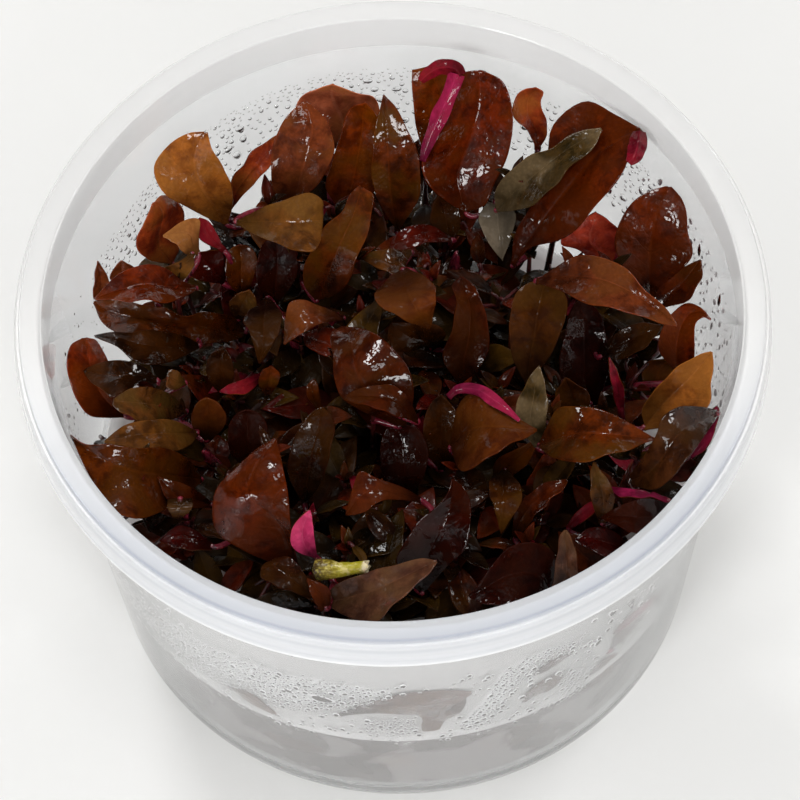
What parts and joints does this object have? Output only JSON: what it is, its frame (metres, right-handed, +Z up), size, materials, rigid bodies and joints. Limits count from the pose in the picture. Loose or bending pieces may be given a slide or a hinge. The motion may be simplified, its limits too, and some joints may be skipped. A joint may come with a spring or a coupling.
{
  "type": "potted aquarium plant in culture cup",
  "caption": "Small red-leaved aquarium plants rooted in clear nutrient gel inside a round, thin-walled translucent culture cup with a flat lip and hanging skirt.",
  "frame": {"origin": "centre of the cup's foot, at the height of the surface that it stands on", "axes": "+Z up along the cup's axis, -Y towards the side that the picture shows nearest"},
  "size_m": [0.095, 0.095, 0.0606],
  "materials": {
    "cup_plastic": "thin translucent moulded polypropylene, satin, slightly milky",
    "gel": "clear greyish nutrient gel, wet, smooth",
    "stem": "wet crimson plant stem, soft sheen",
    "cut_stem": "pale yellow-green cut stem, wet",
    "leaf_small": "dense mass of small dark red-brown leaves",
    "leaf_bronze": "wet glossy leaf, bronze brown",
    "leaf_amber": "wet thin leaf, amber where light comes through",
    "leaf_olive": "wet glossy leaf, olive brown",
    "leaf_crimson": "leaf with its crimson underside out",
    "leaf_mauve": "grey-mauve leaf with a pale wet film"
  },
  "bodies": {
    "root": {"cup": "cup_plastic", "nutrient_gel": "gel", "small_leaves": "leaf_small", "cut_stem_end": "cut_stem", "stem_01": "stem", "stem_02": "stem", "stem_03": "stem", "stem_04": "stem", "stem_05": "stem", "stem_06": "stem", "stem_07": "stem", "stem_08": "stem", "stem_09": "stem", "stem_10": "stem", "leaf_01": "leaf_bronze", "leaf_02": "leaf_bronze", "leaf_03": "leaf_bronze", "leaf_04": "leaf_bronze", "leaf_05": "leaf_amber", "leaf_06": "leaf_bronze", "leaf_07": "leaf_bronze", "leaf_08": "leaf_bronze", "leaf_09": "leaf_olive", "leaf_10": "leaf_crimson", "leaf_11": "leaf_crimson", "leaf_12": "leaf_mauve", "leaf_13": "leaf_bronze", "leaf_14": "leaf_amber", "leaf_15": "leaf_mauve", "leaf_16": "leaf_bronze", "leaf_17": "leaf_olive", "leaf_18": "leaf_olive", "leaf_19": "leaf_bronze", "leaf_20": "leaf_crimson", "leaf_21": "leaf_bronze", "leaf_22": "leaf_bronze", "leaf_23": "leaf_bronze", "leaf_24": "leaf_crimson", "leaf_25": "leaf_olive", "leaf_26": "leaf_bronze", "leaf_27": "leaf_bronze", "leaf_28": "leaf_bronze", "leaf_29": "leaf_bronze", "leaf_30": "leaf_mauve", "leaf_31": "leaf_bronze", "leaf_32": "leaf_crimson", "leaf_33": "leaf_bronze", "leaf_34": "leaf_olive", "leaf_35": "leaf_bronze", "leaf_36": "leaf_bronze", "leaf_37": "leaf_olive", "leaf_38": "leaf_bronze", "leaf_39": "leaf_bronze", "leaf_40": "leaf_olive", "leaf_41": "leaf_olive", "leaf_42": "leaf_bronze", "leaf_43": "leaf_bronze", "leaf_44": "leaf_olive", "leaf_45": "leaf_olive", "leaf_46": "leaf_bronze"}
  },
  "joints": []
}
